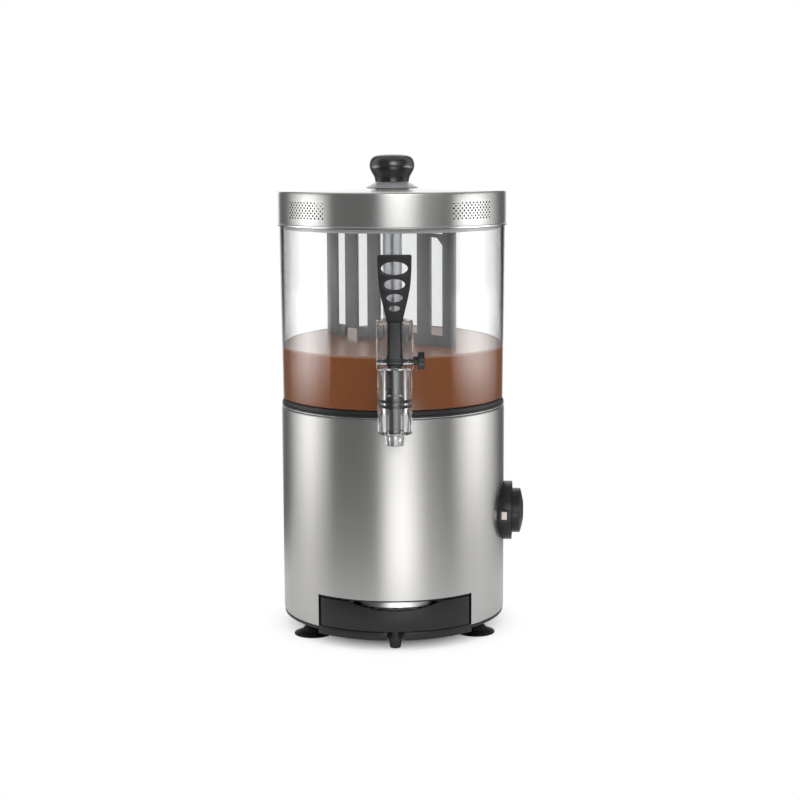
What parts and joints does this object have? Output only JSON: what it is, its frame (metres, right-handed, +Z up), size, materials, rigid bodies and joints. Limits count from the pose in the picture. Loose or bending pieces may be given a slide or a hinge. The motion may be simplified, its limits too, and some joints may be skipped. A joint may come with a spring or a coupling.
{
  "type": "hot chocolate dispenser",
  "caption": "Countertop hot chocolate dispenser: round steel base, clear bowl with agitator, perforated steel lid with knob, lever tap, side heat control and pull-out drip drawer.",
  "frame": {"origin": "centre of the flat underside of the base pan, on the machine's vertical axis, 13 mm above the table", "axes": "+Z up; -Y is the front, where the tap and the drip drawer are; +X is the side with the heat knob"},
  "size_m": [0.2191, 0.2515, 0.4237],
  "materials": {
    "brushed_steel": "brushed stainless steel, grain round the body",
    "lid_steel": "satin polished stainless steel",
    "black_plastic": "satin black moulded plastic",
    "gloss_black": "glossy black moulded plastic",
    "black_rubber": "matt black rubber",
    "clear_polycarbonate": "clear polycarbonate, polished",
    "milky_silicone": "translucent silicone",
    "grey_plastic": "dark grey moulded plastic",
    "light_grey_plastic": "light grey plastic",
    "zinc_steel": "zinc-plated steel",
    "brass": "machined brass",
    "ceramic": "unglazed ceramic",
    "amber_lens": "amber translucent lens"
  },
  "bodies": {
    "base": {"body_shell": "brushed_steel", "bottom_pan": "black_plastic", "tray_channel": "black_plastic", "water_bath": "brushed_steel", "seat_ring": "black_rubber", "heating_element": "zinc_steel", "overheat_cutout": "ceramic", "thermostat_body": "ceramic", "gearbox": "zinc_steel", "motor": "black_plastic", "motor_bracket": "zinc_steel", "shaft_seal": "black_rubber", "terminal_block": "ceramic", "cable_gland": "black_plastic", "gland_nut": "black_plastic", "knob_bezel": "black_plastic", "pilot_lamp": "amber_lens", "foot_1": "black_rubber", "foot_2": "black_rubber", "foot_3": "black_rubber", "foot_4": "black_rubber", "pan_screw_1": "zinc_steel", "pan_screw_2": "zinc_steel", "pan_screw_3": "zinc_steel", "channel_screw_left": "zinc_steel", "channel_screw_right": "zinc_steel", "motor_screw_1": "zinc_steel", "motor_screw_2": "zinc_steel", "bezel_screw_1": "zinc_steel", "bezel_screw_2": "zinc_steel"},
    "bowl": {"bowl": "clear_polycarbonate", "bowl_standpipe": "clear_polycarbonate", "spindle_bush": "black_plastic", "tap_body": "clear_polycarbonate", "tap_gasket": "milky_silicone", "tap_pin": "black_plastic"},
    "lid": {"lid_shell": "lid_steel", "lid_ledge": "lid_steel", "lid_gasket": "milky_silicone", "lid_collar": "light_grey_plastic", "lid_knob": "gloss_black", "lid_screw": "zinc_steel", "lid_washer": "zinc_steel"},
    "agitator": {"agitator": "grey_plastic"},
    "spindle": {"spindle": "zinc_steel", "spindle_collar": "brass"},
    "tap_lever": {"tap_lever": "black_plastic"},
    "tap_plunger": {"tap_plunger": "black_plastic", "tap_seal": "black_rubber"},
    "drip_drawer": {"tray_drawer": "black_plastic", "tray_grid": "brushed_steel", "tray_peg": "black_rubber"},
    "heat_knob": {"thermostat_knob": "black_plastic", "thermostat_shaft": "zinc_steel"}
  },
  "joints": [
    {"name": "bowl_lift", "type": "slide", "parent": "base", "child": "bowl", "axis": [0, 0, 1], "range_m": [0, 0.18]},
    {"name": "lid_lift", "type": "slide", "parent": "bowl", "child": "lid", "axis": [0, 0, 1], "range_m": [0, 0.12]},
    {"name": "agitator_spin", "type": "hinge", "parent": "bowl", "child": "agitator", "pos_m": [0, 0, 0.35], "axis": [0, 0, 1], "continuous": true},
    {"name": "spindle_spin", "type": "hinge", "parent": "base", "child": "spindle", "pos_m": [0, 0, 0.12], "axis": [0, 0, 1], "continuous": true},
    {"name": "lever_swing", "type": "hinge", "parent": "bowl", "child": "tap_lever", "pos_m": [0, -0.131, 0.243], "axis": [1, 0, 0], "range_deg": [0, 45]},
    {"name": "plunger_lift", "type": "slide", "parent": "bowl", "child": "tap_plunger", "axis": [0, 0, 1], "range_m": [0, 0.0064]},
    {"name": "drawer_slide", "type": "slide", "parent": "base", "child": "drip_drawer", "axis": [0, -1, 0], "range_m": [0, 0.08]},
    {"name": "heat_knob_turn", "type": "hinge", "parent": "base", "child": "heat_knob", "pos_m": [0.105, -0.01196, 0.0915], "axis": [0.9936, -0.1132, 0], "range_deg": [0, 270]}
  ],
  "couplings": [
    {"joint": "spindle_spin", "follows": "agitator_spin", "ratio": 1},
    {"joint": "plunger_lift", "follows": "lever_swing", "m_per_rad": 0.0081}
  ]
}
